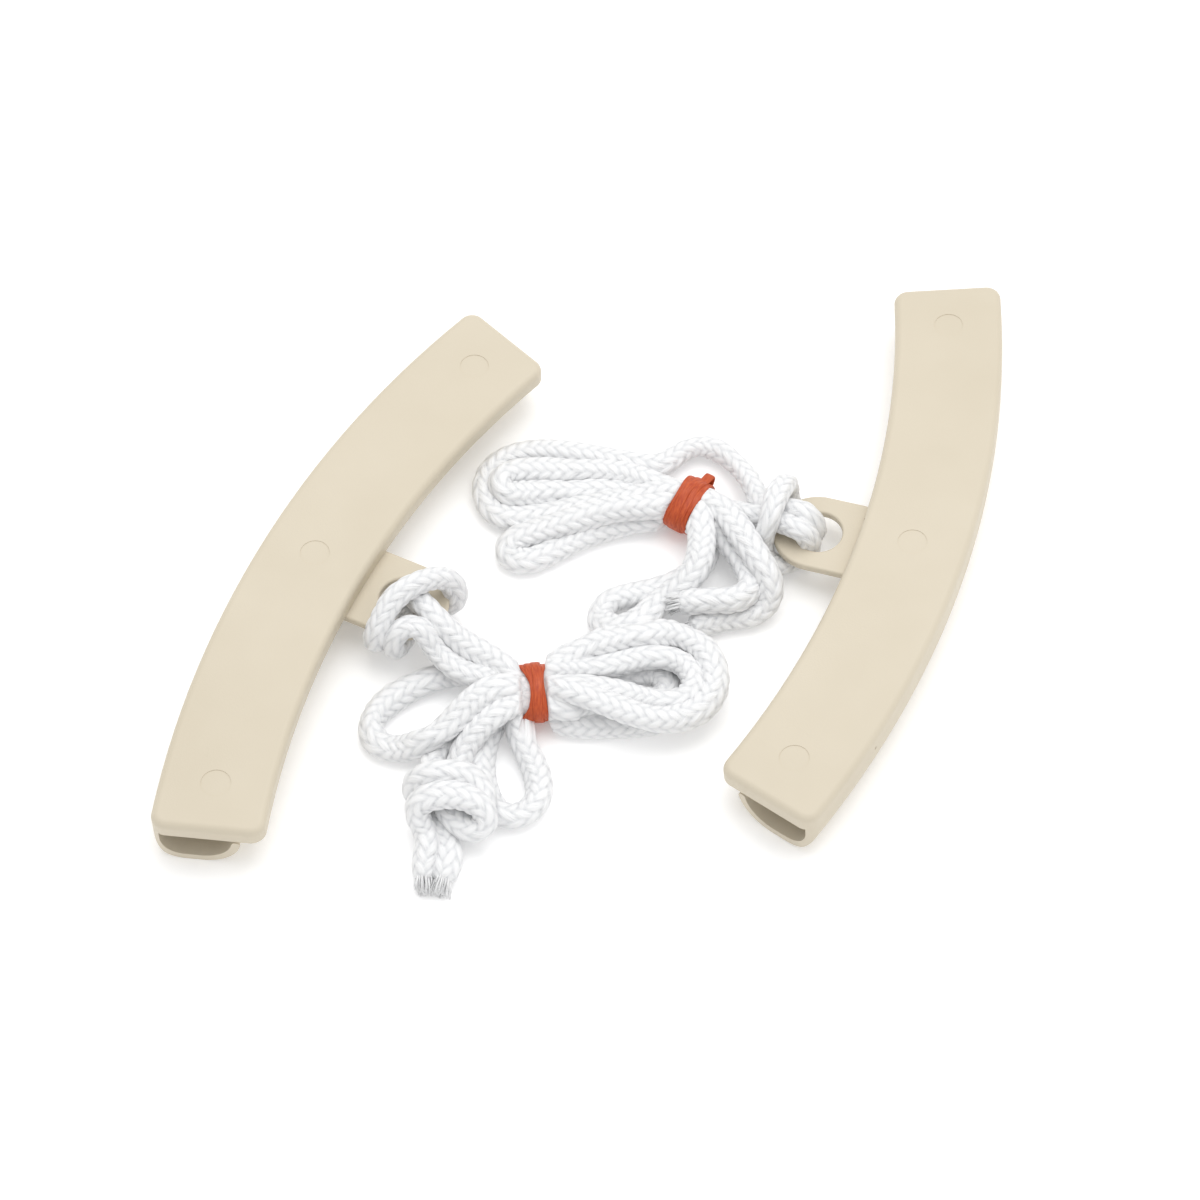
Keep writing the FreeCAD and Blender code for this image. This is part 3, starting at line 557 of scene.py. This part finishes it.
def map_strands(mesh, stations, slip, height):
    """Gives the mesh its height in the braid, as "depth", and for each face the place on the
    strand that shows there, as the UV map "strand"."""
    depth = mesh.attributes.new("depth", "FLOAT", "POINT")
    depths = np.ones(len(mesh.vertices))
    depths[: height.size] = height.reshape(-1)
    depth.data.foreach_set("value", depths)

    at = stations[:-1, None]
    _, first, _ = braid(RING_ANGLES + RING_TURN / 2, at + RING_STEP / 2, slip[:-1])
    spot = np.zeros((len(stations) - 1, RING_POINTS, 4, 2))
    for corner, (turn, onward) in enumerate(((0, 0), (1, 0), (1, 1), (0, 1))):
        _, _, (one, two) = braid(RING_ANGLES + turn * RING_TURN, at + onward * RING_STEP, slip[:-1])
        spot[:, :, corner] = np.where(first[..., None], one, two + 37)
    layer = mesh.uv_layers.new(name="strand")
    spots = np.zeros(2 * len(mesh.loops))
    spots[: spot.size] = spot.reshape(-1)
    layer.data.foreach_set("uv", spots)


def smooth_piece(name, mesh, material):
    """An object of that mesh, shaded smooth."""
    for polygon in mesh.polygons:
        polygon.use_smooth = True
    mesh.materials.append(material)
    made = bpy.data.objects.new(name, mesh)
    scene.collection.objects.link(made)
    return made


def rope(name, route, seed):
    """A braided tube along a route, cut and slightly frayed at its far end, and its path."""
    draw = random.Random(seed)
    stations, points = evenly(spline_points(name, route), RING_STEP)
    tangents, sides, ups = frames(points)
    slip = BRAID_SLIP * slow_noise(stations, SLIP_WAVE, draw)[:, None]
    height, _, _ = braid(RING_ANGLES, stations[:, None], slip)
    radius = rope_radius(stations, height, draw)
    outward = np.cos(RING_ANGLES)[..., None] * sides[:, None, :]
    outward = outward + np.sin(RING_ANGLES)[..., None] * ups[:, None, :]
    surface = squeezed(points[:, None, :] + radius[..., None] * outward * SLACK)
    surface[..., 2] = np.maximum(surface[..., 2], LOWEST)

    rings = len(stations)
    vertices = surface.reshape(-1, 3).tolist()
    polygons = tube_faces(rings, RING_POINTS).tolist()
    for ring, order in ((0, -1), (rings - 1, 1)):
        polygons += end_cap(ring, len(vertices), order)
        vertices.append((points[ring] + order * CAP_RISE * tangents[ring]).tolist())
    spikes, spike_faces = cut_filaments(points[-1], tangents[-1], draw)
    offset = len(vertices)
    vertices += spikes
    polygons += [tuple(offset + k for k in face) for face in spike_faces]

    mesh = bpy.data.meshes.new(name)
    mesh.from_pydata(vertices, [], polygons)
    mesh.validate()
    map_strands(mesh, stations, slip, height)
    return smooth_piece(name, mesh, CORD), points


# ------------------------------------------------------------------ the rubber bands
BAND_STEPS = 120  # round the loop
BAND_PROFILE_STEPS = 14  # round the rubber's own section
BAND_HALF_THICKNESS = 0.45  # millimetres
BULGE_ANGLE = math.radians(163)  # round the bundle, from its left side over the top
BULGE_WIDTH = 0.22  # radians

# Each band's body, the node that it stands for, its middle and heading, and its wraps.
BANDS = {
    "band_left_wraps": (
        "left_protector", "band_left", *GRIPS[0],
        [(-2.9, 1.05, 110, 0.0, 2.4, 0.0), (2.6, 0.35, 110, 0.0, 2.6, 0.4),
         (-1.0, 0.7, 110, 0.35, 2.4, 0.0), (1.0, 0.1, 110, 0.5, 2.8, 0.0)],
    ),
    "band_right_wraps": (
        "right_protector", "band_right", *GRIPS[1],
        [(-2.3, 0.1, 60, 0.0, 2.8, 0.0), (2.2, 0.1, 60, 0.05, 2.9, 0.0),
         (-0.8, 0.1, 60, 0.3, 2.8, 2.4), (0.9, 0.1, 60, 0.4, 2.9, 0.0)],
    ),
}


def band_section(middle, axis, outward, width):
    """The rubber's section: a flat strip with round edges, as wide as that along the axis."""
    points = []
    for j in range(BAND_PROFILE_STEPS):
        turn = 2 * math.pi * j / BAND_PROFILE_STEPS
        c = math.cos(turn)
        s = math.sin(turn)
        wide = math.copysign(abs(c) ** 0.6, c) * width / 2
        thick = math.copysign(abs(s) ** 0.7, s) * BAND_HALF_THICKNESS
        point = middle + MM * (axis * wide + outward * thick)
        point.z = max(point.z, LOWEST)
        points.append(point[:])
    return points


def rubber_band(name, centre, heading, wraps):
    """A rubber loop wound several times round a bundle. Each wrap is (offset, pinch, pinch
    angle, lift, width, bulge): where it lies along the bundle, how far it is drawn in towards
    the middle at that angle, how far it lies over the wrap below, how wide it is, and how far
    it stands out in a small slack loop. Lengths are millimetres."""
    axis = Vector((math.cos(math.radians(heading)), math.sin(math.radians(heading)), 0))
    across = Vector((-axis.y, axis.x, 0))
    up = Vector((0, 0, 1))
    half_width = GRIP_HALF_WIDTH / MM
    half_height = GRIP_HALF_HEIGHT / MM
    vertices, faces, places = [], [], []
    for wrap, (offset, pinch, pinch_angle, lift, width, bulge) in enumerate(wraps):
        start = len(vertices)
        for k in range(BAND_STEPS):
            angle = 2 * math.pi * k / BAND_STEPS
            drawn = max(0.0, math.cos(angle - math.radians(pinch_angle))) ** 2
            shift = offset * (1 - pinch * drawn) + 0.25 * math.sin(3 * angle + wrap)
            narrow = width * (1 - 0.35 * pinch * drawn)
            raised = lift + 0.28 * drawn * (wrap % 2) + 0.08 * math.sin(5 * angle + 2 * wrap)
            raised += bulge * math.exp(-(((angle - BULGE_ANGLE) / BULGE_WIDTH) ** 2))
            outward = across * math.cos(angle) / half_width + up * math.sin(angle) / half_height
            outward.normalize()
            middle = Vector(centre) * MM + MM * (
                across * half_width * math.cos(angle) + up * half_height * math.sin(angle)
            )
            middle += outward * (raised + BAND_HALF_THICKNESS) * MM + axis * shift * MM
            vertices += band_section(middle, axis, outward, narrow)
        for k in range(BAND_STEPS):
            this = start + k * BAND_PROFILE_STEPS
            following = start + (k + 1) % BAND_STEPS * BAND_PROFILE_STEPS
            for j in range(BAND_PROFILE_STEPS):
                beside = (j + 1) % BAND_PROFILE_STEPS
                faces.append((this + j, this + beside, following + beside, following + j))
                places += [(j, k), (j + 1, k), (j + 1, k + 1), (j, k + 1)]
    mesh = bpy.data.meshes.new(name)
    mesh.from_pydata(vertices, [], faces)
    layer = mesh.uv_layers.new(name="loop")
    for loop, (j, k) in zip(layer.data, places):
        loop.uv = (0.8 * j, 0.6 * k)
    return smooth_piece(name, mesh, RUBBER)


bands = {}
for name, (body, node, centre, heading, wraps) in BANDS.items():
    piece = rubber_band(name, centre, heading, wraps)
    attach(piece, body)
    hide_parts(node)
    bands[name] = piece


# ------------------------------------------------------------------ each cord in two halves
# Each half's body, its exit in millimetres, its length in metres, the nodes that it stands for
# and the pieces on it. The lengths are those of the routes above.
HALVES = {
    "cord_left_half_a": (
        "left_protector",
        (-51.9, -13.5, 9.7),
        0.56,
        ("cord_left_hitch", "cord_left_hank", "cord_left_side_loop", "cord_left_tail_a",
         "cord_left_knot", "cord_left_end_a"),
        [bands["band_left_wraps"]],
    ),
    "cord_left_half_b": (
        "left_protector",
        (-51.9, -13.5, 9.7),
        0.43,
        ("cord_left_lead", "cord_left_hank", "cord_left_end_loop", "cord_left_tail_b",
         "cord_left_knot", "cord_left_end_b"),
        [],
    ),
    "cord_right_half_a": (
        "right_protector",
        (61.0, 9.0, 8.6),
        0.26,
        ("cord_right_lead", "cord_right_hank", "cord_right_end_a"),
        [],
    ),
    "cord_right_half_b": (
        "right_protector",
        (61.0, 9.0, 8.6),
        0.49,
        ("cord_right_hitch", "cord_right_hank", "cord_right_loop", "cord_right_end_b"),
        [bands["band_right_wraps"]],
    ),
}

for seed, (name, (body, exit_mm, length, nodes, on_it)) in enumerate(HALVES.items()):
    piece, followed = rope(name, ROUTES[name], seed)
    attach(piece, body)
    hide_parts(*nodes)
